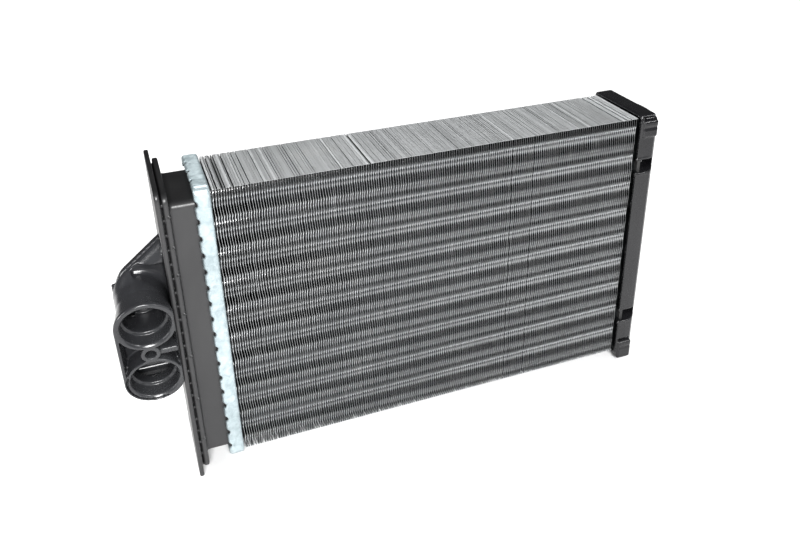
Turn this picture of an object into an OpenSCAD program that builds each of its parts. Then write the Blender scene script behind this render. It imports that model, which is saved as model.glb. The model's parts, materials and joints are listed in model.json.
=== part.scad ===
// Cabin heater core: a plate-fin and round-tube heat exchanger with a crimped
// plastic inlet and outlet tank, a welded port manifold and a clipped return tank.
//
// +X runs along the tubes, from the inlet tank to the return tank.
// +Y runs from the front of the core, which the ports face, to its back. +Z is up.
// The origin is at the bottom centre of the whole heater core.

/* [Core] */
// Length of the fin pack along the tubes
core_len = 234; // [180:1:280]
// Depth of the fin pack, in the direction of the air
core_depth = 42; // [40:1:50]
// Height of the fin pack
core_h = 157; // [150:1:170]
// Distance between two fins
fin_pitch = 1.28; // [1.25:0.01:4]
// Thickness of a fin sheet
fin_t = 0.15; // [0.1:0.05:0.2]
// Length of the lip folded along a fin's top and bottom edge
fin_lip = 1; // [0.4:0.1:1]

/* [Tubes] */
// Tubes in each of the two rows
tubes_per_row = 9; // [9:1:9]
// Outside diameter of a tube
tube_d = 8.6; // [7:0.1:9]
// Wall of a tube
tube_wall = 0.4; // [0.3:0.05:0.6]
// Distance between the tubes of one row
tube_pitch = 16.8; // [16:0.1:17]
// How far a tube stands out of the fin pack at each end
tube_reach = 6.5; // [5.5:0.1:7]
// Width of the bent strip that stirs the water in a tube
strip_w = 6.2; // [4:0.1:6.2]

/* [Headers] */
// Thickness of the inlet header sheet
header_t = 1.4; // [1:0.1:1.6]
// Depth of the inlet header tray
header_w = 8; // [7.5:0.1:9]
// Thickness of both gaskets
gasket_t = 2; // [1.5:0.1:2.2]
// Distance between two bites in the long crimped edges
crimp_pitch = 9.1; // [8:0.1:11]
// Radius of a bite in the crimped edge
crimp_r = 1.4; // [1.3:0.1:1.8]

/* [Inlet tank] */
// How far the tank reaches out from the fin pack, without its flanges
tank_reach = 21.4; // [21.4:0.1:24]
// Wall of the plastic tanks
tank_wall = 2; // [1.5:0.1:2.5]
// Thickness of the outer flange
flange_t = 2.3; // [2:0.1:3]
// Width of the groove between the two flanges
groove_w = 0.9; // [0.6:0.1:1.5]
// Height of the outer flange
flange_h = 169.5; // [168:0.5:172]
// Depth of the outer flange
flange_depth = 58; // [56:1:60]

/* [Ports] */
// Diameter of the wide mouth of a port
mouth_d = 22.8; // [20:0.1:23.5]
// Depth of the wide mouth
mouth_depth = 8; // [6:0.5:9]
// Diameter of the bore behind the mouth
bore_d = 19.6; // [16:0.1:20]
// Distance between the two ports
port_pitch = 35; // [34:0.5:36]
// How far the ports look downwards, in degrees
port_tilt = 10; // [5:1:12]
// Outside radius of the port block
block_r = 14.5; // [14:0.1:15]
// Diameter of the hole for the clamp screw
screw_d = 5.2; // [4:0.1:6]
// Depth of the hole for the clamp screw
screw_depth = 11; // [8:0.5:11]

/* [Return tank] */
// How far the return tank reaches out past the fin pack
return_reach = 17; // [16:0.5:20]
// Height of a clip window in the return tank
window_h = 8; // [6:0.5:10]

/* [Hidden] */
$fn = 48;
eps = 0.01;
rows = ["front", "rear"];
tube_r = tube_d / 2;
row_y = [core_depth * 0.27, core_depth * 0.73];
// The two rows are staggered by half a pitch and fill the height together
first_z = (core_h - (tubes_per_row - 0.5) * tube_pitch) / 2;
function tube_z(row, i) = first_z + (i - 1 + (row == 0 ? 0.5 : 0)) * tube_pitch;
fin_gaps = round((core_len - fin_t - fin_lip) / fin_pitch);
fin_step = (core_len - fin_t - fin_lip) / fin_gaps;

// The inlet header is a tray whose floor is close to the first fin
header_x = -1;
rim_t = 1.2;
header_lo = [-2, -2.5];
header_hi = [core_depth + 2, core_h + 2.5];
header_floor = header_x - header_t;
gasket_x = header_floor - gasket_t;
lip_t = 1;
foot_x = header_x - header_w + lip_t;
collar_r = tube_r + 1;

// The inlet tank's body, flanges and the passages through its end wall
tank_x = -tank_reach;
flange_x = tank_x - 1.8 - groove_w - flange_t;
flange_lo = [-8, -6.5];
mid_y = core_depth / 2;
mid_z = core_h / 2;
passage_back = 9;
upper_passage_z = [106, 124];
lower_passage_z = [58, 76];

// The port manifold stands on the outer flange
block_x = flange_x - 13.1;
block_left = block_x - 11.5;
block_y = -13;
block_z = 82.8;
duct_front = 2.5;
seam_y = 10;
duct_back = 19;
duct_top = 132.5;
duct_slope = 38.7;
duct_bottom = 52;
duct_r = 7;
wall = 2;
// The wall between the upper and the lower passage
divider_z = [84, 87];

// The return tank's skirt goes over the header plate
skirt_x = core_len + 0.4;
skirt_lo = [-2.5, -2.5];
skirt_hi = [core_depth + 2.5, core_h + 2];
return_plate_x = core_len + 1.2;
return_gasket_x = return_plate_x + header_t;
return_foot_x = return_gasket_x + gasket_t;
return_end = core_len + return_reach;
foot_low = -5;
window_z = [27, 128.4];

// The whole part runs from the port block to the return tank's bow
x_low = block_x - block_r;
y_low = block_y - port_pitch / 2 * sin(port_tilt) - block_r * sin(port_tilt);
y_high = flange_lo[0] + flange_depth;
origin_shift = [-(x_low + return_end) / 2, -(y_low + y_high) / 2, -flange_lo[1]];

silver = [0.78, 0.79, 0.8];
tube_silver = [0.7, 0.71, 0.72];
header_blue = [0.62, 0.68, 0.7];
rubber_black = [0.08, 0.08, 0.08];
plastic_black = [0.13, 0.13, 0.14];
plastic_grey = [0.2, 0.2, 0.21];
strip_white = [0.85, 0.83, 0.76];

// A plate in the YZ plane with round corners, from lo to hi, that runs from x0 to x1
module plate(x0, x1, lo, hi, r) {
    for (y = [lo[0] + r, hi[0] - r], z = [lo[1] + r, hi[1] - r])
        translate([x0, y, z]) rotate([0, 90, 0]) cylinder(r = r, h = x1 - x0);
    translate([x0, lo[0] + r, lo[1]]) cube([x1 - x0, hi[0] - lo[0] - 2 * r, hi[1] - lo[1]]);
    translate([x0, lo[0], lo[1] + r]) cube([x1 - x0, hi[0] - lo[0], hi[1] - lo[1] - 2 * r]);
}

// A plain box from one corner to the other
module box(lo, hi) {
    translate(lo) cube(hi - lo);
}

// A cylinder along X at every tube, for the holes and collars
module at_tubes(x0, x1, r) {
    for (row = [0, 1], i = [1:tubes_per_row])
        translate([x0, row_y[row], tube_z(row, i)]) rotate([0, 90, 0]) cylinder(r = r, h = x1 - x0);
}

// Everything is drawn from the front lower inlet corner of the fin pack and then moved
module placed() {
    translate(origin_shift) children();
}

// One fin: a flat sheet with a lip folded along its top and bottom edge
module fin() {
    cube([fin_t, core_depth, core_h]);
    cube([fin_t + fin_lip, core_depth, fin_t]);
    translate([0, 0, core_h - fin_t]) cube([fin_t + fin_lip, core_depth, fin_t]);
}

module fin_pack() {
    color(silver) placed() difference() {
        for (i = [0:fin_gaps]) translate([i * fin_step, 0, 0]) fin();
        at_tubes(-1, core_len + 1, tube_r);
    }
}

// One tube, with both ends belled to grip the gaskets
module tube(row, i) {
    bell = 1.2;
    bell_r = tube_r + 0.6;
    length = core_len + 2 * tube_reach;
    bore_r = tube_r - tube_wall;
    color(tube_silver) placed() translate([-tube_reach, row_y[row], tube_z(row, i)]) rotate([0, 90, 0])
        difference() {
            union() {
                cylinder(r = tube_r, h = length);
                cylinder(r1 = bell_r, r2 = tube_r, h = bell);
                translate([0, 0, length - bell]) cylinder(r1 = tube_r, r2 = bell_r, h = bell);
            }
            translate([0, 0, -1]) cylinder(r = bore_r, h = length + 2);
            translate([0, 0, -eps]) cylinder(r1 = bell_r - tube_wall, r2 = bore_r, h = bell);
            translate([0, 0, length - bell + eps]) cylinder(r1 = bore_r, r2 = bell_r - tube_wall, h = bell);
        }
}

// A strip bent into a zigzag, which lies loose in a tube
module turbulator() {
    wave = 1.4;
    half_wave = 5;
    strip_t = 0.4;
    folds = floor(core_len / half_wave) - 1;
    function height(i) = (i % 2 == 0 ? 1 : -1) * wave;
    rotate([90, 0, 0]) linear_extrude(height = strip_w, center = true) polygon(concat(
        [for (i = [0:folds]) [i * half_wave, height(i) - strip_t / 2]],
        [for (i = [folds:-1:0]) [i * half_wave, height(i) + strip_t / 2]]));
}

module turbulators(row) {
    color(strip_white) placed() for (i = [1:tubes_per_row])
        translate([4, row_y[row], tube_z(row, i)]) turbulator();
}

// The crimped sheet tray that holds the inlet tank's foot on its gasket
module inlet_header() {
    open_x = header_x - header_w;
    inner_lo = [for (v = header_lo) v + rim_t];
    inner_hi = [for (v = header_hi) v - rim_t];
    bites = floor((core_h - 8) / crimp_pitch);
    side_bites = 3;
    color(header_blue) placed() difference() {
        plate(open_x, header_x, header_lo, header_hi, 4);
        // the space for the foot and the gasket
        plate(foot_x, header_floor, inner_lo, inner_hi, 3);
        // the opening that the crimped lips leave round the tank
        plate(open_x - 1, foot_x + 1, [for (v = inner_lo) v + 1.2], [for (v = inner_hi) v - 1.2], 2);
        at_tubes(header_floor - 1, header_x + 1, collar_r);
        for (i = [0:bites]) translate([open_x, -4, mid_z + (i - bites / 2) * crimp_pitch])
            rotate([-90, 0, 0]) cylinder(r = crimp_r, h = core_depth + 8);
        for (i = [-1:side_bites - 2]) translate([open_x, mid_y + i * 11, -4])
            cylinder(r = crimp_r, h = core_h + 8);
    }
}

// A rubber sheet with a collar round every tube; the collars fill the header's holes
module gasket(sheet_x, collar_x0, collar_x1, inset) {
    difference() {
        union() {
            plate(sheet_x, sheet_x + gasket_t, [for (v = header_lo) v + inset],
                [for (v = header_hi) v - inset], 3);
            at_tubes(collar_x0, collar_x1, collar_r);
        }
        at_tubes(sheet_x - 9, sheet_x + 9, tube_r);
    }
}

module inlet_gasket() {
    color(rubber_black) placed() gasket(gasket_x, gasket_x, header_x, rim_t);
}

// The tank: body, foot, dividing wall and the double flange for the air duct's seal
module inlet_tank() {
    body_lo = [1, 3];
    body_hi = [core_depth - 1, core_h - 4.5];
    hollow_lo = [for (v = body_lo) v + tank_wall];
    hollow_hi = [for (v = body_hi) v - tank_wall];
    foot_lo = [for (v = header_lo) v + rim_t];
    foot_hi = [for (v = header_hi) v - rim_t];
    flange_hi = [flange_lo[0] + flange_depth, flange_lo[1] + flange_h];
    inner_flange_t = 2.8;
    inner_inset = 3.5;
    core_inset = 7;
    inner_x = flange_x + flange_t + groove_w;
    rib_pitch = 7.75;
    rib_w = 1;
    rib_h = 3.6;
    ribs = floor((flange_h - 14) / rib_pitch);
    color(plastic_black) placed() difference() {
        union() {
            plate(foot_x, gasket_x, foot_lo, foot_hi, 3);
            plate(tank_x, gasket_x, body_lo, body_hi, 3);
            plate(flange_x, flange_x + flange_t, flange_lo, flange_hi, 4);
            plate(inner_x, inner_x + inner_flange_t, [for (v = flange_lo) v + inner_inset],
                [for (v = flange_hi) v - inner_inset], 4);
            plate(flange_x + eps, inner_x + eps, [for (v = flange_lo) v + core_inset],
                [for (v = flange_hi) v - core_inset], 2);
            // short ribs across the groove
            for (i = [0:ribs], y = [flange_lo[0] + inner_inset + 0.1, flange_hi[0] - core_inset - 0.2])
                translate([flange_x + flange_t - eps, y, mid_z - rib_w / 2 + (i - ribs / 2) * rib_pitch])
                    cube([groove_w + 2 * eps, rib_h, rib_w]);
        }
        // the two water chambers, with the dividing wall between them
        for (z = [[hollow_lo[1], mid_z - tank_wall / 2], [mid_z + tank_wall / 2, hollow_hi[1]]])
            box([tank_x + tank_wall, hollow_lo[0], z[0]], [gasket_x + 1, hollow_hi[0], z[1]]);
        // the passages to the manifold
        for (z = [upper_passage_z, lower_passage_z])
            box([flange_x - 1, hollow_lo[0], z[0]], [tank_x + tank_wall + 1, passage_back, z[1]]);
    }
}

// The outline of the duct seen from the front, and the same outline inset for its inside
module duct_outline(inset) {
    left = block_left + inset;
    top = duct_top - inset / cos(duct_slope);
    corner_r = 6 - inset;
    corner_x = left + corner_r;
    corner_z = top - (flange_x - corner_x) * tan(duct_slope) - corner_r / cos(duct_slope);
    low = duct_bottom + inset;
    polygon([[flange_x, low], [left, low], [left, corner_z],
        [corner_x - corner_r * sin(duct_slope), corner_z + corner_r * cos(duct_slope)], [flange_x, top]]);
    translate([corner_x, corner_z]) circle(r = corner_r);
}

// The duct between two depths; its corner towards the viewer is round
module duct_body(y0, y1, inset) {
    r = duct_r - inset;
    intersection() {
        translate([0, y1, 0]) rotate([90, 0, 0]) linear_extrude(height = y1 - y0) duct_outline(inset);
        union() {
            box([block_left + inset + r, y0 - 1, 0], [flange_x, y1 + 1, core_h]);
            box([block_left + inset, duct_front + inset + r, 0], [flange_x, y1 + 1, core_h]);
            translate([block_left + inset + r, duct_front + inset + r, 0]) cylinder(r = r, h = core_h);
        }
    }
}

// Places its children in the ports' own frame: +Z comes out of the mouths
module port_frame() {
    translate([block_x, block_y, block_z]) rotate([90 + port_tilt, 0, 0]) children();
}

// The outline of the port block: two round ends joined by straight sides
module block_outline(r) {
    for (side = [-1, 1]) translate([0, side * port_pitch / 2]) circle(r = r);
    square([2 * r, port_pitch], center = true);
}

// The front moulding: both ports, the screw boss and the front half of the duct
module port_manifold() {
    rim_r = block_r - 0.8;
    boss_r = 5;
    web_w = 3;
    pocket_depth = 10;
    lead = 1.2;
    bore_end = 22;
    color(plastic_grey) placed() difference() {
        union() {
            duct_body(duct_front, seam_y, 0);
            difference() {
                port_frame() translate([0, 0, -30]) linear_extrude(height = 30) block_outline(block_r);
                box([x_low - 5, seam_y, 0], [flange_x + 10, 60, core_h]);
                box([flange_x, -40, 0], [flange_x + 10, 60, core_h]);
            }
        }
        port_frame() {
            for (side = [-1, 1]) translate([0, side * port_pitch / 2, 0]) {
                translate([0, 0, -mouth_depth]) cylinder(d = mouth_d, h = mouth_depth + 1);
                translate([0, 0, -lead])
                    cylinder(d1 = mouth_d, d2 = mouth_d + 2 * lead + 0.2, h = lead + 0.1);
                translate([0, 0, -bore_end]) cylinder(d = bore_d, h = bore_end);
            }
            translate([0, 0, -screw_depth]) cylinder(d = screw_d, h = screw_depth + 1);
            // the pockets on both sides of the screw boss
            translate([0, 0, -pocket_depth]) linear_extrude(height = pocket_depth + 1) difference() {
                square([2 * (block_r - 1.6), port_pitch], center = true);
                for (side = [-1, 1]) translate([0, side * port_pitch / 2]) circle(r = rim_r);
                circle(r = boss_r);
                square([web_w, port_pitch], center = true);
            }
        }
        // the water passages behind the ports
        difference() {
            duct_body(duct_front + wall, seam_y + 1, wall);
            box([x_low - 5, -20, divider_z[0]], [flange_x + 5, 40, divider_z[1]]);
        }
    }
}

// The back half of the duct, welded on along the seam
module manifold_cover() {
    rib_z = [99, 110];
    color(plastic_black) placed() {
        difference() {
            cover_shell(0);
            cover_shell(wall);
        }
        intersection() {
            cover_shell(0);
            box([x_low - 5, seam_y, divider_z[0]], [flange_x, duct_back, divider_z[1]]);
        }
        box([block_left - 1, seam_y + 2, rib_z[0]], [block_left + 1, seam_y + 4, rib_z[1]]);
    }
}

// The cover's outer shape, or its hollow when inset; the hollow is open at the seam
module cover_shell(inset) {
    r = duct_r - 1 - inset;
    front = inset > 0 ? seam_y - 1 : seam_y;
    back = duct_back - inset;
    right = inset > 0 ? flange_x + 1 : flange_x;
    intersection() {
        translate([0, back, 0]) rotate([90, 0, 0])
            linear_extrude(height = back - front) duct_outline(inset);
        union() {
            box([block_left + inset + r, front, 0], [right, back, core_h]);
            box([block_left + inset, front, 0], [right, back - r, core_h]);
            translate([block_left + inset + r, back - r, 0]) cylinder(r = r, h = core_h);
        }
    }
}

// The flat header plate at the return end, with a notch behind every window of the tank
module return_header() {
    lo = [skirt_lo[0] + 1.8, skirt_lo[1] + 2];
    hi = [skirt_hi[0] - 1.8, skirt_hi[1] - 2];
    notch_depth = 3.5;
    color(header_blue) placed() difference() {
        plate(return_plate_x, return_plate_x + header_t, lo, hi, 2);
        at_tubes(return_plate_x - 1, return_plate_x + header_t + 1, collar_r);
        for (z = window_z, y = [lo[0] - 1, hi[0] - notch_depth])
            translate([return_plate_x - 1, y, z - window_h / 2])
                cube([header_t + 2, notch_depth + 1, window_h]);
    }
}

module return_gasket() {
    color(rubber_black) placed() gasket(return_gasket_x, return_plate_x, return_gasket_x + gasket_t, 2.2);
}

// The bowed end of the return tank seen from above, between two heights
module bow(z0, z1, inset) {
    bow_r = 45;
    corner_r = 5 - min(inset, 2);
    front = skirt_lo[0] + inset;
    back = skirt_hi[0] - inset;
    corner_x = return_end - corner_r - 3;
    corner_y = [front + corner_r, back - corner_r - 4];
    intersection() {
        translate([return_end - inset - bow_r, mid_y - 3, z0]) cylinder(r = bow_r, h = z1 - z0, $fn = 96);
        union() {
            box([skirt_x, front, z0], [corner_x, back, z1]);
            box([skirt_x, corner_y[0], z0], [return_end + 1, corner_y[1], z1]);
            for (y = corner_y) translate([corner_x, y, z0]) cylinder(r = corner_r, h = z1 - z0);
        }
    }
}

// The moulded return tank: skirt, bowed water box, clip windows, top tab and foot
module return_tank() {
    skirt_len = 10;
    skirt_wall = 1.6;
    tab_x = [skirt_x + 1, skirt_x + 10.4];
    tab_z = [146, skirt_hi[1] - 1];
    tab_proud = 1.5;
    foot_z = [foot_low, 9];
    // a window cuts this deep into the front, and the front ones run on to the bow
    window_depth = 4;
    front_window_end = return_end - 3.5;
    color(plastic_black) placed() difference() {
        union() {
            bow(skirt_lo[1], skirt_hi[1] - 2, 0);
            plate(skirt_x, skirt_x + skirt_len, skirt_lo, skirt_hi, 3);
            // the tab at the top and the foot at the bottom of the front and the back
            for (z = [tab_z, foot_z]) {
                box([tab_x[0], skirt_lo[0] - tab_proud, z[0]], [tab_x[1], skirt_lo[0] + 3, z[1]]);
                box([tab_x[0], skirt_hi[0] - 3, z[0]], [tab_x[1], skirt_hi[0] + tab_proud, z[1]]);
            }
        }
        // the recess that takes the header plate and the gasket
        plate(skirt_x - 1, return_foot_x, [for (v = skirt_lo) v + skirt_wall],
            [for (v = skirt_hi) v - skirt_wall], 2);
        // the water box
        bow(skirt_lo[1] + 6, skirt_hi[1] - 8, 5);
        for (z = window_z) {
            box([skirt_x - 1, skirt_lo[0] - 1, z - window_h / 2],
                [front_window_end, skirt_lo[0] + window_depth, z + window_h / 2]);
            box([skirt_x - 1, skirt_hi[0] - window_depth, z - window_h / 2],
                [skirt_x + skirt_len - 1, skirt_hi[0] + 1, z + window_h / 2]);
        }
    }
}

fin_pack();
for (i = [1:tubes_per_row]) {
    tube(0, i);
    tube(1, i);
}
turbulators(0);  // turbulators_front
turbulators(1);  // turbulators_rear
inlet_header();
inlet_gasket();
inlet_tank();
port_manifold();
manifold_cover();
return_header();
return_gasket();
return_tank();
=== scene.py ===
import json

import bpy
import numpy as np
import openvdb
from mathutils import Matrix, Vector


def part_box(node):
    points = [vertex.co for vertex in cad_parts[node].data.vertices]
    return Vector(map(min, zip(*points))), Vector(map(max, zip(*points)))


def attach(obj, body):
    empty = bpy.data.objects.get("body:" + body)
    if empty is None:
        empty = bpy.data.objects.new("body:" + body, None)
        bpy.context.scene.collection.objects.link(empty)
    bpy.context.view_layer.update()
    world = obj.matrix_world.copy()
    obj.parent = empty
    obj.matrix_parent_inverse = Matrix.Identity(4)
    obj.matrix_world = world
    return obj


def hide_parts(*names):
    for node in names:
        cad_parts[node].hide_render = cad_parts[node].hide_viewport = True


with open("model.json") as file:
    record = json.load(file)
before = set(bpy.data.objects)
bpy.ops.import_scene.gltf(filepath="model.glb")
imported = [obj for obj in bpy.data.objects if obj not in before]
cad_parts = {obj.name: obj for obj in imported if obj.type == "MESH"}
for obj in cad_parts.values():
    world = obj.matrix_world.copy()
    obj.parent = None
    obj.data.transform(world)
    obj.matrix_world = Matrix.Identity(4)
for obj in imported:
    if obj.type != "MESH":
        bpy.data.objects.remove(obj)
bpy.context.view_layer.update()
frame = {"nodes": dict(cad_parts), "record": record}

MM = 0.001
CORE_LO, CORE_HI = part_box("fin_pack")
CORE_SIZE = CORE_HI - CORE_LO


def core_box(node):
    """A CAD node's box in millimetres, from the fin pack's front lower inlet corner."""
    lo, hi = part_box(node)
    return np.array((lo - CORE_LO) / MM), np.array((hi - CORE_LO) / MM)


CORE = core_box("fin_pack")[1]
HEADER = core_box("inlet_header")
TANK = core_box("inlet_tank")
MANIFOLD = core_box("port_manifold")
COVER = core_box("manifold_cover")
RETURN = core_box("return_tank")


# ---------- camera, light and floor ----------

def look_from(name, place, forward, up, lens):
    """The camera at a place, looking along forward."""
    data = bpy.data.cameras.new(name)
    data.sensor_width = 36
    data.lens = lens
    data.clip_start = 0.05
    data.clip_end = 20
    data.dof.use_dof = False
    camera = bpy.data.objects.new(name, data)
    bpy.context.scene.collection.objects.link(camera)
    back = -Vector(forward).normalized()
    right = Vector(up).cross(back).normalized()
    above = back.cross(right)
    turn = Matrix((right, above, back)).transposed().to_4x4()
    camera.matrix_world = Matrix.Translation(place) @ turn
    bpy.context.scene.camera = camera
    return camera


def area_light(name, place, aim, size, power):
    """A rectangular white light at a place, turned towards aim."""
    data = bpy.data.lights.new(name, "AREA")
    data.shape = "RECTANGLE"
    data.size, data.size_y = size
    data.energy = power
    lamp = bpy.data.objects.new(name, data)
    bpy.context.scene.collection.objects.link(lamp)
    lamp.location = place
    lamp.rotation_euler = (Vector(aim) - Vector(place)).to_track_quat("-Z", "Y").to_euler()
    return lamp


def light_only(lamp, things):
    """Keeps a lamp's light to some objects."""
    group = bpy.data.collections.new(lamp.name + "_lights")
    for thing in things:
        group.objects.link(thing)
    lamp.light_linking.receiver_collection = group


# The camera's place is given from the fin pack's front lower inlet corner, in metres.
camera = look_from("camera", CORE_LO + Vector((-0.0332, -0.3488, 0.3202)),
                   (0.3062, 0.8472, -0.4341), (0.1675, 0.401, 0.9007), 36.5)
camera.data.shift_y = -0.1

world = bpy.data.worlds.new("studio")
bpy.context.scene.world = world
world.use_nodes = True
background = world.node_tree.nodes["Background"]
background.inputs["Color"].default_value = (1, 1, 1, 1)
# What the camera sees past the floor is white; what lights the part is dimmer.
ray = world.node_tree.nodes.new("ShaderNodeLightPath")
strength = world.node_tree.nodes.new("ShaderNodeMapRange")
strength.inputs["To Min"].default_value = 0.075
strength.inputs["To Max"].default_value = 1.0
world.node_tree.links.new(ray.outputs["Is Camera Ray"], strength.inputs["Value"])
world.node_tree.links.new(strength.outputs["Result"], background.inputs["Strength"])

aim = (0, 0, 0.08)  # the middle of the part
top_light = area_light("top_softbox", (0.1, 0.6, 1.2), aim, (1.2, 0.7), 12.5)
area_light("front_softbox", (-0.2, -1.1, 0.75), aim, (0.5, 0.35), 28)
left_light = area_light("left_softbox", (-1.2, -0.05, 0.4), aim, (0.5, 0.6), 12)
area_light("right_softbox", (1.1, -0.2, 0.6), aim, (0.3, 0.9), 3)
right_edge_light = area_light("right_edge_light", (0.8, -0.7, 1.1), aim, (0.22, 0.22), 9)
left_edge_light = area_light("left_edge_light", (-0.12, -0.6, 0.95), aim, (0.2, 0.2), 5)
bpy.context.scene.view_settings.view_transform = "Standard"
bpy.context.scene.view_settings.look = "Medium High Contrast"


# ---------- materials ----------

class Nodes:
    """A material's node tree, with short calls to add nodes and join them."""

    def __init__(self, name):
        self.material = bpy.data.materials.new(name)
        self.material.use_nodes = True
        self.tree = self.material.node_tree
        self.shader = self.tree.nodes["Principled BSDF"]
        self.place = self.add("ShaderNodeTexCoord").outputs["Object"]

    def add(self, kind, **settings):
        """Adds a node and sets its properties."""
        node = self.tree.nodes.new(kind)
        for key, value in settings.items():
            setattr(node, key, value)
        return node

    def join(self, source, target):
        self.tree.links.new(source, target)

    def noise(self, scale, detail=4, roughness=0.55, stretch=(1, 1, 1), distortion=0.0):
        """A noise value over the object, at a number of cells per metre."""
        mapping = self.add("ShaderNodeMapping")
        mapping.inputs["Scale"].default_value = stretch
        self.join(self.place, mapping.inputs["Vector"])
        noise = self.add("ShaderNodeTexNoise")
        noise.inputs["Scale"].default_value = scale
        noise.inputs["Detail"].default_value = detail
        noise.inputs["Roughness"].default_value = roughness
        noise.inputs["Distortion"].default_value = distortion
        self.join(mapping.outputs["Vector"], noise.inputs["Vector"])
        return noise.outputs["Fac"]

    def ramp(self, value, stops):
        """A colour ramp through (place, colour) stops; a number stands for a grey."""
        ramp = self.add("ShaderNodeValToRGB").color_ramp
        node = self.tree.nodes[-1]
        while len(ramp.elements) < len(stops):
            ramp.elements.new(0.5)
        for element, (place, colour) in zip(ramp.elements, stops):
            element.position = place
            rgb = (colour,) * 3 if isinstance(colour, (int, float)) else colour
            element.color = (*rgb, 1)
        self.join(value, node.inputs["Fac"])
        return node.outputs["Color"]

    def mix(self, factor, a, b, blend="MIX"):
        """Mixes two colours; each may be a colour or a socket."""
        node = self.add("ShaderNodeMix", data_type="RGBA", blend_type=blend)
        for socket, value in ((node.inputs[0], factor), (node.inputs[6], a), (node.inputs[7], b)):
            if isinstance(value, bpy.types.NodeSocket):
                self.join(value, socket)
            else:
                socket.default_value = value if isinstance(value, float) else (*value, 1)
        return node.outputs[2]

    def bump(self, layers):
        """Stacks (height, strength, distance in metres) layers into the shader's normal."""
        normal = None
        for height, strength, distance in layers:
            node = self.add("ShaderNodeBump")
            node.inputs["Strength"].default_value = strength
            node.inputs["Distance"].default_value = distance
            self.join(height, node.inputs["Height"])
            if normal:
                self.join(normal, node.inputs["Normal"])
            normal = node.outputs["Normal"]
        self.join(normal, self.shader.inputs["Normal"])

    def finish(self, colour, roughness, metallic=0.0):
        """Joins colour and roughness to the shader and gives the finished material."""
        self.join(colour, self.shader.inputs["Base Color"])
        self.join(roughness, self.shader.inputs["Roughness"])
        self.shader.inputs["Metallic"].default_value = metallic
        self.shader.inputs["Specular IOR Level"].default_value = 0.5
        return self.material


def fin_aluminium():
    """Thin rolled sheet: satin, with rolling lines and dull patches; its colour is multiplied by each point's
    painted light, painted highlights and painted shade.
    """
    n = Nodes("fin_aluminium")
    rolled = n.noise(90, 5, 0.6, (40, 1.5, 1.5))
    patches = n.noise(28, 4, 0.6)
    colour = n.ramp(patches, [(0.3, (0.8, 0.82, 0.83)), (0.55, (0.88, 0.9, 0.91)),
                              (0.75, (0.94, 0.95, 0.95))])
    colour = n.mix(0.35, colour, n.ramp(rolled, [(0.3, 0.6), (0.7, 0.86)]), "MULTIPLY")
    # painted light: each point's painted highlight or painted shade, kept on the mesh, multiplies the colour
    painted_light_factor = n.add("ShaderNodeAttribute", attribute_name="painted_light").outputs["Color"]
    colour = n.mix(1.0, colour, painted_light_factor, "MULTIPLY")
    roughness = n.ramp(rolled, [(0.25, 0.34), (0.75, 0.52)])
    n.bump([(rolled, 0.12, 0.0002)])
    return n.finish(colour, roughness, 0.9)


def tube_aluminium():
    """Drawn tube: fine lines along its length."""
    n = Nodes("tube_aluminium")
    drawn = n.noise(700, 3, 0.5, (0.02, 1, 1))
    stain = n.noise(60, 4, 0.6)
    lines = n.ramp(drawn, [(0.3, 0.62), (0.7, 0.8)])
    colour = n.mix(0.4, lines, n.ramp(stain, [(0.3, 0.55), (0.7, 0.85)]), "MULTIPLY")
    n.bump([(drawn, 0.1, 0.0001)])
    return n.finish(colour, n.ramp(stain, [(0.3, 0.3), (0.7, 0.5)]), 1.0)


def zinc_sheet(name, painted_shade_factor=1.0):
    """Coated header sheet: blue-grey and mottled, with press marks; a low factor darkens the whole sheet as
    painted shade.
    """
    n = Nodes(name)
    mottle = n.noise(260, 6, 0.7, distortion=0.6)
    cloud = n.noise(45, 3, 0.5)
    fine = n.noise(1600, 2, 0.5)
    colour = n.ramp(mottle, [(0.3, (0.3, 0.36, 0.38)), (0.5, (0.42, 0.49, 0.51)),
                             (0.72, (0.56, 0.63, 0.65))])
    colour = n.mix(0.5, colour, n.ramp(cloud, [(0.3, 0.62), (0.7, 0.95)]), "MULTIPLY")
    colour = n.mix(1.0, colour, (painted_shade_factor, painted_shade_factor, painted_shade_factor), "MULTIPLY")
    n.bump([(mottle, 0.25, 0.0003), (fine, 0.15, 0.0001)])
    return n.finish(colour, n.ramp(mottle, [(0.3, 0.32), (0.7, 0.52)]), 0.65)


def black_plastic(name, dark, light, gloss, dull, grain=0.25):
    """Glass-filled moulded plastic: satin, with fine grain, flow marks, scuffs and dust."""
    n = Nodes(name)
    flow = n.noise(22, 4, 0.6, (1, 1, 0.35), 1.2)
    fibre = n.noise(1500, 3, 0.6, (1, 1, 0.4))
    scuff = n.noise(240, 8, 0.75, (1, 1, 0.25), 0.8)
    colour = n.ramp(flow, [(0.3, dark), (0.7, light)])
    marks = n.ramp(scuff, [(0.66, 0.0), (0.78, 1.0)])
    colour = n.mix(marks, colour, tuple(c * 1.9 + 0.02 for c in light))
    span = [(0.3, gloss), (0.7, dull)]
    roughness = n.mix(0.5, n.ramp(flow, span), n.ramp(fibre, span))
    n.bump([(fibre, grain, 0.00012), (flow, 0.12, 0.0015), (scuff, 0.1, 0.0002)])
    return n.finish(colour, roughness)


def gasket_rubber():
    """Moulded rubber: nearly black, dull and grainy."""
    n = Nodes("gasket_rubber")
    grain = n.noise(900, 4, 0.6)
    n.bump([(grain, 0.2, 0.0002)])
    return n.finish(n.ramp(grain, [(0.3, 0.02), (0.7, 0.05)]), n.ramp(grain, [(0.3, 0.6), (0.7, 0.85)]))


def strip_plastic():
    """Uncoloured plastic of the strips in the tubes."""
    n = Nodes("strip_plastic")
    cloud = n.noise(150, 4, 0.6)
    n.bump([(cloud, 0.15, 0.0003)])
    return n.finish(n.ramp(cloud, [(0.3, (0.68, 0.65, 0.58)), (0.7, (0.82, 0.8, 0.73))]),
                    n.ramp(cloud, [(0.3, 0.4), (0.7, 0.6)]))


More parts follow.
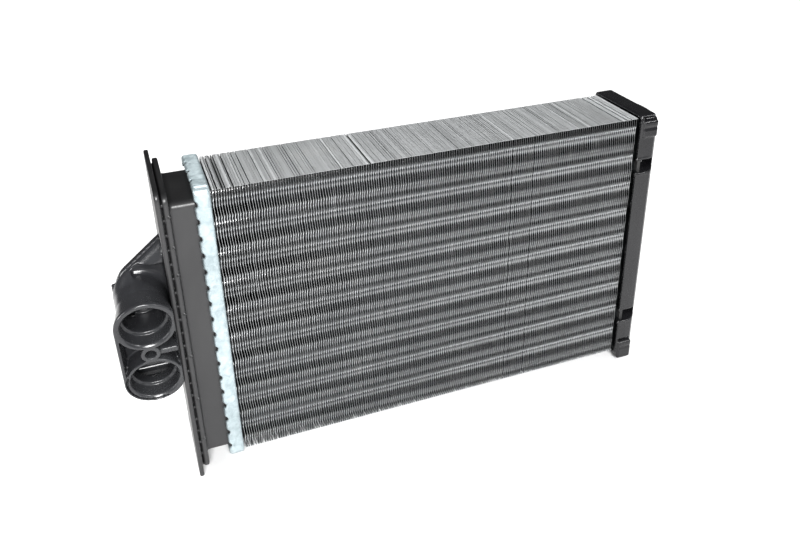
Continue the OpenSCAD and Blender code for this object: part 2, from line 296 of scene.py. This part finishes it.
def floor_paint():
    """White paper that fades away, a metre from the part, into the white surroundings."""
    n = Nodes("floor_paint")
    cloud = n.noise(3, 2, 0.5)
    away = n.add("ShaderNodeVectorMath", operation="LENGTH")
    n.join(n.place, away.inputs[0])
    here = n.add("ShaderNodeMapRange", interpolation_type="SMOOTHSTEP")
    here.inputs["From Min"].default_value, here.inputs["From Max"].default_value = 0.35, 1.1
    here.inputs["To Min"].default_value, here.inputs["To Max"].default_value = 1.0, 0.0
    n.join(away.outputs["Value"], here.inputs["Value"])
    n.join(here.outputs["Result"], n.shader.inputs["Alpha"])
    n.bump([(cloud, 0.05, 0.001)])
    return n.finish(n.ramp(cloud, [(0.3, 0.86), (0.7, 0.88)]), n.ramp(cloud, [(0.3, 0.6), (0.7, 0.65)]))


FIN = fin_aluminium()
TUBE = tube_aluminium()
ZINC = zinc_sheet("zinc_sheet")
# the return header's sheet is painted nearly black, as painted shade where it lies in shadow behind the
# return tank's windows
PAINTED_SHADE_ZINC = zinc_sheet("painted_shade_zinc_sheet", 0.06)
TANK_PLASTIC = black_plastic("tank_plastic", (0.02, 0.02, 0.021), (0.036, 0.036, 0.037), 0.3, 0.44)
PORT_PLASTIC = black_plastic("port_plastic", (0.016, 0.016, 0.018), (0.03, 0.031, 0.033), 0.18, 0.3, 0.12)
RETURN_PLASTIC = black_plastic("return_plastic", (0.007, 0.007, 0.008), (0.014, 0.014, 0.015),
                               0.2, 0.34, 0.12)
RUBBER = gasket_rubber()
STRIP = strip_plastic()

NODE_MATERIAL = {"inlet_header": ZINC, "return_header": PAINTED_SHADE_ZINC,
                 "inlet_gasket": RUBBER, "return_gasket": RUBBER,
                 "inlet_tank": TANK_PLASTIC, "return_tank": RETURN_PLASTIC,
                 "port_manifold": PORT_PLASTIC, "manifold_cover": PORT_PLASTIC,
                 "turbulators_front": STRIP, "turbulators_rear": STRIP, "fin_pack": FIN}
for name, node in frame["nodes"].items():
    material = NODE_MATERIAL.get(name, TUBE)
    node.data.materials.clear()
    node.data.materials.append(material)


# ---------- helpers for pieces ----------

def piece(name, mesh, material, node):
    """Makes an object that rides on the part and stands for a CAD node."""
    ob = bpy.data.objects.new(name, mesh)
    bpy.context.scene.collection.objects.link(ob)
    mesh.materials.clear()
    mesh.materials.append(material)
    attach(ob, "root")
    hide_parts(node)
    return ob


# ---------- solids from signed distances ----------
#
# A moulding is worked out as a signed distance in millimetres, negative inside, on a grid of points, and
# its surface becomes the mesh. Places are in the core's own frame: from the fin pack's front lower
# inlet corner.

class Grid:
    """A box of points, a step apart in millimetres; x, y and z broadcast against each other."""

    def __init__(self, lo, hi, step=0.5):
        self.lo = np.array(lo, float) - 2 * step
        self.step = step
        counts = np.ceil((np.array(hi, float) + 2 * step - self.lo) / step).astype(int) + 1
        axes = [self.lo[i] + step * np.arange(counts[i]) for i in range(3)]
        axes = [a.astype(np.float32) for a in axes]
        self.x, self.y, self.z = np.meshgrid(*axes, indexing="ij", sparse=True)

    def mesh(self, name, distance):
        """The surface where the distance is zero, as a closed mesh."""
        shape = (self.x.size, self.y.size, self.z.size)
        field = np.array(np.broadcast_to(distance, shape), dtype=np.float32, order="C")
        grid = openvdb.FloatGrid(float(field.max()))
        grid.copyFromArray(field)
        points, triangles, quads = grid.convertToPolygons(0.0, 0.0)
        mesh = bpy.data.meshes.new(name)
        places = (points * self.step + self.lo) * MM + np.array(CORE_LO)
        mesh.from_pydata(places.tolist(), [], triangles.tolist() + quads.tolist())
        mesh.update()
        mesh.shade_smooth()
        return mesh


def both(a, b, r=0.0):
    """What lies in both solids; an outside edge between them is rounded to radius r."""
    if r == 0.0:
        return np.maximum(a, b)
    return np.minimum(np.maximum(a, b), -r) + np.hypot(np.maximum(a + r, 0), np.maximum(b + r, 0))


def either(a, b, r=0.0):
    """Both solids joined; the inside corner between them is filled to radius r."""
    return -both(-a, -b, r)


def cut(a, b, r=0.0):
    """The first solid without the second."""
    return both(a, -b, r)


def slab(v, low, high):
    """What lies between two values of one coordinate."""
    return np.abs(v - (low + high) / 2) - (high - low) / 2


def rectangle(a, b, lo, hi, corner=0.0):
    """A rectangle with round corners in any two coordinates."""
    qa = slab(a, lo[0], hi[0]) + corner
    qb = slab(b, lo[1], hi[1]) + corner
    return np.hypot(np.maximum(qa, 0), np.maximum(qb, 0)) + np.minimum(np.maximum(qa, qb), 0) - corner


def plate(g, x0, x1, lo, hi, corner, edge):
    """A plate across the tubes, with round corners and rounded edges."""
    return both(rectangle(g.y, g.z, lo, hi, corner), slab(g.x, x0, x1), edge)


def block(g, lo, hi, edge):
    """A box with rounded edges."""
    sides = both(slab(g.y, lo[1], hi[1]), slab(g.z, lo[2], hi[2]), edge)
    return both(sides, slab(g.x, lo[0], hi[0]), edge)


def near_line(v, middle, pitch, reach):
    """The distance to the nearest of a row of lines about the middle; large past the row's ends."""
    turns = (v - middle) / pitch
    away = np.abs(turns - np.round(turns)) * pitch
    return np.where(np.abs(v - middle) > reach, 99, away)


def tube_holes(g, r):
    """Round holes in every tube's place, seen along the tubes."""
    found = np.inf
    for name in frame["nodes"]:
        if name.startswith("tube_"):
            lo, hi = core_box(name)
            found = np.minimum(found, np.hypot(g.y - (lo[1] + hi[1]) / 2, g.z - (lo[2] + hi[2]) / 2) - r)
    return found


def stand_in(node, kind, g, distance, material):
    """The piece that stands for a CAD node: the surface of a solid on a grid."""
    name = f"{node}_{kind}"
    return piece(name, g.mesh(name, distance), material, node)


# ---------- inlet header ----------

def inlet_header():
    """The sheet tray: rolled-over edge, crimp bites along it and a slot at its foot."""
    lo, hi = HEADER
    sheet, lip, rolled = 1.2, 1.0, 2.4
    bite_r, side_pitch, end_pitch, corner = 1.5, 9.1, 11, 3
    hole_r, plate_t = 5.3, 3
    g = Grid(lo, hi)
    outside = plate(g, lo[0], hi[0], lo[1:], hi[1:], 4.0, 1.5)
    space = plate(g, lo[0] + lip, hi[0] - 1.4, lo[1:] + sheet, hi[1:] - sheet, 3.0, 0.4)
    mouth = plate(g, lo[0] - 5, lo[0] + lip + 1, lo[1:] + rolled, hi[1:] - rolled, 2.0, 0.4)
    tray = cut(cut(outside, space, 0.3), mouth, 0.6)
    middle_y, middle_z = (lo[1:] + hi[1:]) / 2
    along = near_line(g.z, middle_z, side_pitch, 8.5 * side_pitch)
    across = near_line(g.y, middle_y, end_pitch, 1.5 * end_pitch)
    in_side = np.hypot(g.x - lo[0], along) - bite_r
    in_end = np.hypot(g.x - lo[0], across) - bite_r
    tray = cut(tray, both(in_side, -slab(g.y, lo[1] + corner, hi[1] - corner)), 0.5)
    tray = cut(tray, both(in_end, -slab(g.z, lo[2] + corner, hi[2] - corner)), 0.5)
    slot = block(g, (lo[0] + 1.6, lo[1] - 1, lo[2] - 1), (lo[0] + 4.4, lo[1] + 2, lo[2] + 1.2), 0.3)
    tray = cut(tray, slot, 0.3)
    tray = cut(tray, both(tube_holes(g, hole_r), -(g.x - (hi[0] - plate_t))), 0.2)
    return stand_in("inlet_header", "sheet", g, tray, ZINC)


# ---------- inlet tank ----------

def inlet_tank():
    """Body, foot and chambers, with the double flange and the ribs and pips of its groove."""
    lo, hi = TANK
    outer_t, groove, inner_t = 2.3, 0.9, 2.8
    inner_inset, floor_inset, foot_t = 3.5, 7, 3.6
    rib_pitch, rib_half, pip_r = 7.75, 0.6, 0.8
    inner_x = lo[0] + outer_t + groove
    body_lo, body_hi = np.array([1.0, 3.0]), np.array([CORE[1] - 1, CORE[2] - 4.5])
    foot_lo, foot_hi = HEADER[0][1:] + 1.2, HEADER[1][1:] - 1.2
    g = Grid(lo, hi)
    inner = plate(g, inner_x, inner_x + inner_t, lo[1:] + inner_inset, hi[1:] - inner_inset, 4.0, 0.7)
    body = plate(g, inner_x, hi[0], body_lo, body_hi, 3.0, 0.5)
    solid = either(inner, body, 1.2)
    solid = either(solid, plate(g, hi[0] - foot_t, hi[0], foot_lo, foot_hi, 3.0, 0.5))
    groove_floor = plate(g, lo[0] + 0.5, inner_x + 1, lo[1:] + floor_inset, hi[1:] - floor_inset, 2.0, 0.2)
    solid = either(solid, groove_floor)
    ribs = np.abs(g.z / rib_pitch - np.round(g.z / rib_pitch)) * rib_pitch - rib_half
    ribs = both(ribs, plate(g, lo[0] + 1, inner_x + 1, lo[1:] + 3.8, hi[1:] - 3.8, 4.0, 0.2))
    solid = either(solid, ribs, 0.2)
    solid = either(solid, plate(g, lo[0], lo[0] + outer_t, lo[1:], hi[1:], 4.0, 0.6))
    for z in (149, 133, 118, 96, 71, 44, 18):
        to_pip = (g.x - inner_x - inner_t + 0.4, g.y - lo[1] - 3.6, g.z - z)
        pip = np.sqrt(sum(d ** 2 for d in to_pip)) - pip_r
        solid = either(solid, pip, 0.3)
    wall, middle = 2.0, CORE[2] / 2
    chamber_x = inner_x + inner_t + 1.0
    chambers = both(plate(g, chamber_x, hi[0] + 3, body_lo + wall, body_hi - wall, 1.5, 0.5),
                    -slab(g.z, middle - wall / 2, middle + wall / 2), 0.5)
    # the coolant's way in and out, from each chamber to the duct
    for low, high in ((106, 124), (58, 76)):
        way = both(rectangle(g.y, g.z, (body_lo[0] + wall, low), (9, high), 0.5), g.x - chamber_x - 1)
        chambers = either(chambers, way)
    solid = cut(solid, chambers, 0.2)
    return stand_in("inlet_tank", "moulding", g, solid, TANK_PLASTIC)


# ---------- port manifold and its cover ----------

FLANGE_X = TANK[0][0]
DUCT_LEFT = COVER[0][0] + 1
DUCT_LOW = COVER[0][2]
DUCT_TOP = COVER[1][2]
DUCT_FRONT = 2.5
DUCT_WALL = 2.0
SEAM_Y = COVER[0][1]
SLOPE = np.radians(38.7)
DIVIDER = (84.0, 87.0)
MOUNTS = {m["name"]: m for m in frame["record"]["mounts"]}


def duct(g, inset=0.0):
    """The duct's outline seen from the front: upright at the left, then sloping up to the flange."""
    slope = (g.z - DUCT_TOP) * np.cos(SLOPE) + (FLANGE_X - g.x) * np.sin(SLOPE)
    upper = both(DUCT_LEFT - g.x, slope, 6.0)
    return both(upper, DUCT_LOW - g.z, 4.0) + inset


def duct_hollow(g, shape):
    """The two passages, apart at the divider, open to the flange."""
    return both(both(duct(g, DUCT_WALL), shape, 2.0), -slab(g.z, *DIVIDER), 1.0)


def port_manifold():
    """Both ports and the screw boss, blended into the front half of the duct."""
    g = Grid(MANIFOLD[0], MANIFOLD[1])
    screw, upper, lower = (MOUNTS[name] for name in ("clamp_screw_hole", "upper_port", "lower_port"))
    axis = np.array(screw["axis"])
    face = (np.array(screw["pos_m"]) - np.array(CORE_LO)) / MM + axis * screw["dims"]["length_mm"] / 2
    ports = (np.array(upper["pos_m"]) - np.array(lower["pos_m"])) / MM
    half_pitch = np.linalg.norm(ports) / 2
    up = ports / (2 * half_pitch)
    # from the middle of the face: u to the right, v up from port to port, w out along their axis
    u = g.x - face[0]
    v = (g.y - face[1]) * up[1] + (g.z - face[2]) * up[2]
    w = (g.y - face[1]) * axis[1] + (g.z - face[2]) * axis[2]

    # the duct bulges forward at its sloped top and down its left side, round a flat panel set back
    bulge, panel_depth, panel_low, panel_top = 9, 5, 90, 122
    front = both(duct(g), DUCT_FRONT - g.y, 7.0)
    panel = block(g, (DUCT_LEFT + bulge, DUCT_FRONT - 12, panel_low),
                  (FLANGE_X + 9, DUCT_FRONT + panel_depth, panel_top), 1.2)
    front = cut(front, panel, 0.5)

    # the port block flares from a neck to the rim of the mouths; flare is how far it draws in
    block_r, block_len = face[0] - MANIFOLD[0][0], 34
    rim_len, taper_len, taper = 2.0, 11, 2.2
    flare = taper * np.clip(-(w + rim_len) / taper_len, 0, 1) ** 0.8
    sides = np.hypot(u, np.maximum(np.abs(v) - half_pitch, 0)) - block_r
    neck = (sides + flare) * 0.97
    body = either(front, both(both(neck, w, 0.8), -(w + block_len)), 2.5)

    # pockets between the mouths leave the screw boss, an upright web through it and one to its right
    wall, pocket_depth, boss_r, web_half = 1.6, 10, 4.6, 1.5
    pocket = both(np.abs(u) - (block_r - wall) + flare, slab(v, -half_pitch, half_pitch))
    pocket = both(pocket, -(w + pocket_depth))
    pocket = cut(pocket, np.hypot(u, v) - boss_r, 0.4)
    pocket = cut(pocket, slab(u, -web_half, web_half))
    pocket = cut(pocket, both(slab(v, -3.0, 0.4), both(-u, w + 2.0)), 0.3)
    for side in (-1, 1):
        pocket = cut(pocket, np.hypot(u, v - side * half_pitch) - (block_r - 0.8), 0.4)
    body = cut(body, pocket, 0.4)

    # a crescent groove at the lower left of the lower mouth
    groove_r, groove_half, groove_depth = 13.2, 0.45, 2.5
    groove = both(np.abs(np.hypot(u, v + half_pitch) - groove_r) - groove_half, -(w + groove_depth))
    groove = both(groove, both(u - 5, v + half_pitch - 5))
    body = cut(body, groove, 0.2)

    mouth_r, mouth_depth, lead = upper["dims"]["r_mm"], 8.0, 1.2
    bore_r, bore_depth = 9.8, 22.0
    slant = 0.7071  # the cosine of 45 degrees
    for side in (-1, 1):
        r = np.hypot(u, v - side * half_pitch)
        funnel = both((r - mouth_r - lead - w) * slant, -(w + lead))
        socket = either(both(r - mouth_r, -(w + mouth_depth)), funnel)
        body = cut(body, socket, 0.3)
        body = cut(body, both(r - bore_r, -(w + bore_depth)), 0.6)
    screw_hole = both(np.hypot(u, v) - screw["dims"]["r_mm"], -(w + screw["dims"]["length_mm"]))
    body = cut(body, screw_hole, 0.4)

    # the passages keep their wall behind the panel, and a step marks the weld seam
    hollow = cut(duct_hollow(g, DUCT_FRONT + DUCT_WALL - g.y), panel - DUCT_WALL)
    body = cut(body, hollow)
    body = both(body, either(duct(g, 1.0), g.y - SEAM_Y + 0.8), 0.2)
    body = both(both(body, g.y - SEAM_Y), g.x - FLANGE_X)
    return stand_in("port_manifold", "moulding", g, body, PORT_PLASTIC)


def manifold_cover():
    """The back half of the duct, with a welding step along the seam and a small rib."""
    g = Grid(COVER[0], COVER[1])
    back = COVER[1][1]
    rib_low, rib_top = 99, 110
    shell = both(duct(g), g.y - back, 6.0)
    shell = cut(shell, duct_hollow(g, g.y - back + DUCT_WALL))
    shell = both(shell, either(duct(g, 0.6), SEAM_Y + 0.5 - g.y), 0.2)
    rib = block(g, (DUCT_LEFT - 1, SEAM_Y + 2, rib_low), (DUCT_LEFT + 1, SEAM_Y + 4, rib_top), 0.4)
    shell = either(shell, rib, 0.3)
    shell = both(both(shell, SEAM_Y - g.y), g.x - FLANGE_X)
    return stand_in("manifold_cover", "moulding", g, shell, PORT_PLASTIC)


# ---------- return tank ----------

def return_tank():
    """Skirt and bowed box, with lipped windows and the hooked tabs at the top and the foot."""
    lo, hi = RETURN
    front, back = -2.5, CORE[1] + 2.5
    skirt_low, skirt_high = -2.5, CORE[2] + 2
    skirt_x, skirt_len, bow_r = lo[0], 10.0, 45.0
    dome_drop, tank_wall, skirt_wall, skirt_depth = 3, 5.0, 1.6, 4.2
    g = Grid(lo, hi)
    bow = np.hypot(g.x - (hi[0] - bow_r), g.y - (CORE[1] / 2 - 3)) - bow_r
    bow = both(both(bow, front - g.y, 5.0), g.y - back, 5.0)
    solid = both(both(bow, skirt_x - g.x), slab(g.z, skirt_low, skirt_high - dome_drop), 2.2)
    skirt = plate(g, skirt_x, skirt_x + skirt_len, (front, skirt_low), (back, skirt_high), 3.0, 0.6)
    solid = either(solid, skirt, 0.6)
    water = both(bow + tank_wall, slab(g.z, skirt_low + 6, skirt_high - 8), 2.0)

    # windows at the front, with a bead along their upper and lower edges, and slots at the back
    window_h, window_depth, slot_depth, bead_r = 8.0, 12.0, 4, 0.6
    window_end = hi[0] - 3.5
    for z in (27.0, 128.4):
        low, high = z - window_h / 2, z + window_h / 2
        for edge in (low - bead_r, high + bead_r):
            bead = np.hypot(g.y - front, g.z - edge) - bead_r
            solid = either(solid, both(bead, both(g.x - window_end, bow - 0.3)), 0.2)
        window = both(both(skirt_x - 1 - g.x, g.x - window_end), slab(g.z, low, high), 2.5)
        window = both(window, g.y - front - window_depth)
        solid = cut(solid, window, 0.25)
        water = cut(water, window - skirt_wall)
        slot = both(slab(g.x, skirt_x - 5, skirt_x + skirt_len - 1), slab(g.z, low, high))
        solid = cut(solid, both(slot, back - slot_depth - g.y), 0.25)

    # tabs at the front and back; a front one has a slot above it and a waist across it
    tab_x, tab_proud = (skirt_x + 1.0, skirt_x + 10.4), 1.5
    for low, high in ((146.0, 156.0), (lo[2], 7.4)):
        for y0, y1 in ((front - tab_proud, front + 3), (back - 3, back + tab_proud)):
            solid = either(solid, block(g, (tab_x[0], y0, low), (tab_x[1], y1, high), 1.1), 0.3)
        slot = block(g, (tab_x[0] + 0.3, front - 3, high + 0.1), (tab_x[1] - 0.4, front + 2, high + 1.9), 0.4)
        solid = cut(solid, slot, 0.2)
        waist = np.hypot(g.y - front + 2.1, g.z - high + 4.2) - 1.1
        solid = cut(solid, both(waist, slab(g.x, tab_x[0] - 1, tab_x[1] + 1)), 0.4)
    recess = plate(g, skirt_x - 5, skirt_x + skirt_depth, (front + skirt_wall, skirt_low + skirt_wall),
                   (back - skirt_wall, skirt_high - skirt_wall), 2.0, 0.3)
    solid = cut(solid, either(recess, water), 0.2)
    return stand_in("return_tank", "moulding", g, solid, RETURN_PLASTIC)


header_sheet = inlet_header()
glossy = [port_manifold(), manifold_cover(), return_tank()]
inlet_tank()

# ---------- fins ----------

FIN_COUNT = 183
FIN_T = 0.2 * MM
TUBE_PITCH = 16.8 * MM
FRONT_TUBE_Z = 149.9 * MM
PERIOD_ROWS = 30


def lean(z):
    """How strongly a fin leans at each height: in two steps beside each front tube and each rear one."""
    phase = ((FRONT_TUBE_Z + 1.8 * MM - z) / TUBE_PITCH) % 1.0

    def swell(centre, width, amount):
        away = (phase - centre + 0.5) % 1.0 - 0.5
        return amount * np.exp(-(away / width) ** 2)

    front_tube = swell(0.0, 0.045, 1.6) + swell(0.17, 0.06, 0.7)
    return front_tube + swell(0.61, 0.05, 1.1) + swell(0.72, 0.065, 0.95)


def rim(z):
    """One along the strip above the first front tube, zero below it."""
    return np.clip((z - FRONT_TUBE_Z - 2.4 * MM) / (0.8 * MM), 0, 1)


def ripple(z):
    """How far a fin stands aside at each height, from its lean; it stays within the pack."""
    slope = lean(z)
    slope -= slope.mean()
    slope = slope * (1 - rim(z)) - 0.3 * rim(z)
    shift = np.concatenate([[0], np.cumsum((slope[1:] + slope[:-1]) / 2 * np.diff(z))])
    return shift - np.polyval(np.polyfit(z, shift, 1), z)


def smooth_noise(rng, shape, cells):
    """A smooth random field from -1 to 1 with a number of cells along each side."""
    grid = rng.uniform(-1, 1, (cells[0] + 3, cells[1] + 3))
    rows = np.linspace(1, cells[0] + 1, shape[0])
    columns = np.linspace(1, cells[1] + 1, shape[1])

    def weights(t):
        return np.stack([(1 - t) ** 3, 3 * t ** 3 - 6 * t ** 2 + 4,
                         -3 * t ** 3 + 3 * t ** 2 + 3 * t + 1, t ** 3]) / 6

    row_at, column_at = rows.astype(int), columns.astype(int)
    row_w, column_w = weights(rows - row_at), weights(columns - column_at)
    field = np.zeros(shape)
    for a in range(4):
        for b in range(4):
            ia = np.clip(row_at + a - 1, 0, cells[0] + 2)
            ib = np.clip(column_at + b - 1, 0, cells[1] + 2)
            field += row_w[a][:, None] * column_w[b][None, :] * grid[np.ix_(ia, ib)]
    return field * 1.8


def fin_groups():
    """All fins, as rippled sheets with folded lips, in pieces of fifteen or so."""
    rng = np.random.default_rng(7)
    height, depth = CORE_SIZE.z, CORE_SIZE.y
    rows = int(height / TUBE_PITCH * PERIOD_ROWS)
    z = np.linspace(0, height, rows)
    # the depths a fin is drawn at, closest near both edges, and the share of the ripple at each
    columns = np.array([0, 0.3 * MM, 1.2 * MM, 4 * MM])
    columns = np.concatenate([columns, depth - columns[::-1]])
    share = np.array([0.15, 0.5, 1, 1, 1, 1, 0.5, 0.15])
    # the metal's colour is painted bright along its cut edges and in bands beside the tubes, as painted
    # highlights, and darker deeper in between the fins and in the strip under the top lips, as painted shade
    painted_band_light = np.clip(0.8 * lean(z) * (1 - rim(z)), 0, 1)
    edge = (0.42 + 0.5 * painted_band_light) * (1 - 0.3 * rim(z))
    painted_column_light = [edge, painted_band_light, painted_band_light * 0.8, painted_band_light * 0.4, painted_band_light * 0.4, painted_band_light * 0.8, painted_band_light, edge]
    # painted highlights on the top lips: brighter towards the right end, at random in a few, in two a third
    # of the way along and in the last nine
    painted_lip_light = np.linspace(0.47, 0.63, FIN_COUNT) + rng.normal(0, 0.03, FIN_COUNT)
    painted_lip_light[rng.random(FIN_COUNT) < 0.06] += 0.16
    painted_lip_light[[59, 61]] += 0.25
    painted_lip_light[-9:] += 0.25
    step = (CORE_SIZE.x - 1.4 * MM) / (FIN_COUNT - 1)
    fade = np.clip(np.minimum(z, height - z) / (3 * MM), 0, 1)
    wave = ripple(z) * fade
    drift = smooth_noise(rng, (FIN_COUNT, rows), (24, 14)) * 0.22 * MM
    drift_back = smooth_noise(rng, (FIN_COUNT, rows), (24, 14)) * 0.22 * MM
    jitter = rng.normal(0, 0.05 * MM, (FIN_COUNT, 1))
    index = np.arange(FIN_COUNT)[:, None]

    def dent(at_fin, at_z, reach_fins, reach_z, push):
        """A place where fins were pushed aside: they crowd towards its middle. Lengths in mm."""
        u = (index - at_fin) / reach_fins
        v = (z[None, :] - at_z * MM) / (reach_z * MM)
        return push * MM * -u * np.exp(-u ** 2 - v ** 2)

    dents = sum(dent(*place) for place in (
        (163, 146, 5, 5, 1.3), (150, 143, 3, 3, 0.8), (12, 104, 4, 6, 0.9), (6, 96, 3, 3, 0.8),
        (45, 140, 3, 6, 0.9), (9, 60, 4, 4, 0.7), (90, 78, 4, 4, 0.5), (118, 30, 3, 5, 0.6)))
    # the share of loose lips, and the lower lips' flat level of painted light
    loose_share, painted_low_lip_light = 0.33, 0.6
    loose = rng.random(FIN_COUNT) < loose_share
    lip_gap = np.where(loose, rng.uniform(0.14, 0.32, FIN_COUNT), rng.uniform(0.0, 0.08, FIN_COUNT)) * MM
    lip_drop = np.abs(rng.normal(0, 0.06, FIN_COUNT)) * MM
    # some lips near both ends, and one a third of the way along, have been knocked apart
    for i in (1, 3, 4, 7, 60, FIN_COUNT - 9, FIN_COUNT - 6, FIN_COUNT - 4):
        lip_gap[i] = 0.5 * MM
        lip_drop[i] += 0.3 * MM
    group_size, fewest = 15, 8
    groups = []
    first = 0
    while first < FIN_COUNT:
        last = min(first + group_size, FIN_COUNT)
        if FIN_COUNT - last < fewest:
            last = FIN_COUNT
        verts, faces, painted_light = [], [], []
        for i in range(first, last):
            x0 = i * step
            offsets = [(drift[i] * (1 - c / depth) + drift_back[i] * c / depth
                        + dents[i] * max(0.0, 1 - c / (14 * MM))) * fade + jitter[i] for c in columns]
            rings = []
            lip = step - FIN_T - lip_gap[i]
            for c, part, off in zip(columns, share, offsets):
                x = x0 + FIN_T / 2 + wave * part + off
                left = np.stack([x - FIN_T / 2, z], 1)
                right = np.stack([x + FIN_T / 2, z], 1)
                top_x, low_x = right[-1, 0], right[0, 0]
                right[-1, 1] -= FIN_T
                right[0, 1] += FIN_T
                top = [[top_x + lip, height - lip_drop[i] - FIN_T], [top_x + lip, height - lip_drop[i]]]
                low = [[low_x + lip, 0], [low_x + lip, FIN_T]]
                # round the section: up the right face, out along the lip, back and down the left face
                ring = np.concatenate([right, top, left[::-1], low])
                rings.append(np.column_stack([ring[:, 0], np.full(len(ring), c), ring[:, 1]]))
            base = len(verts)
            size = len(rings[0])
            # each ring carries its depth's painted light and shade, the top of its side its lip's painted
            # light, and the lower lip a flat painted level
            for ring, painted_ring_light in zip(rings, painted_column_light):
                verts.extend(ring)
                side = painted_ring_light.copy()
                side[-1] = painted_lip_light[i]
                painted_light.extend([*side, painted_lip_light[i], painted_lip_light[i], *side[::-1], painted_low_lip_light, painted_low_lip_light])
            for k in range(len(rings) - 1):
                for p in range(size):
                    q = (p + 1) % size
                    a, b = base + k * size, base + (k + 1) * size
                    faces.append((a + p, a + q, b + q, b + p))
            n = len(right)
            for k, flip in ((0, False), (len(rings) - 1, True)):
                a = base + k * size
                strips = [(a + p, a + 2 * n + 1 - p, a + 2 * n - p, a + p + 1) for p in range(n - 1)]
                strips.append((a + n - 1, a + n + 2, a + n + 1, a + n))
                strips.append((a + 2 * n + 3, a, a + 2 * n + 1, a + 2 * n + 2))
                faces.extend(tuple(reversed(s)) if flip else s for s in strips)
        mesh = bpy.data.meshes.new("fins")
        mesh.from_pydata((np.array(verts) + np.array(CORE_LO)).tolist(), [], faces)
        mesh.update()
        mesh.attributes.new("painted_light", "FLOAT", "POINT").data.foreach_set("value", np.array(painted_light, np.float32))
        groups.append(piece(f"fins_{len(groups) + 1:02d}", mesh, FIN, "fin_pack"))
        first = last
    return groups


fins = fin_groups()

# ---------- floor ----------

floor_mesh = bpy.data.meshes.new("floor")
half = 6.0
corners = [(-half, -half, 0), (half, -half, 0), (half, half, 0), (-half, half, 0)]
floor_mesh.from_pydata(corners, [], [(0, 1, 2, 3)])
floor = bpy.data.objects.new("floor", floor_mesh)
bpy.context.scene.collection.objects.link(floor)
floor.location.z = -0.0005
floor_mesh.materials.append(floor_paint())

# The light from above is for the metal and the floor, the light from the left leaves out the inlet
# tank, and the two small edge lights are for the glossy mouldings alone.
light_only(top_light, [*fins, header_sheet, floor])
light_only(left_light, [*fins, header_sheet, *glossy, floor])
light_only(right_edge_light, glossy)
light_only(left_edge_light, glossy)
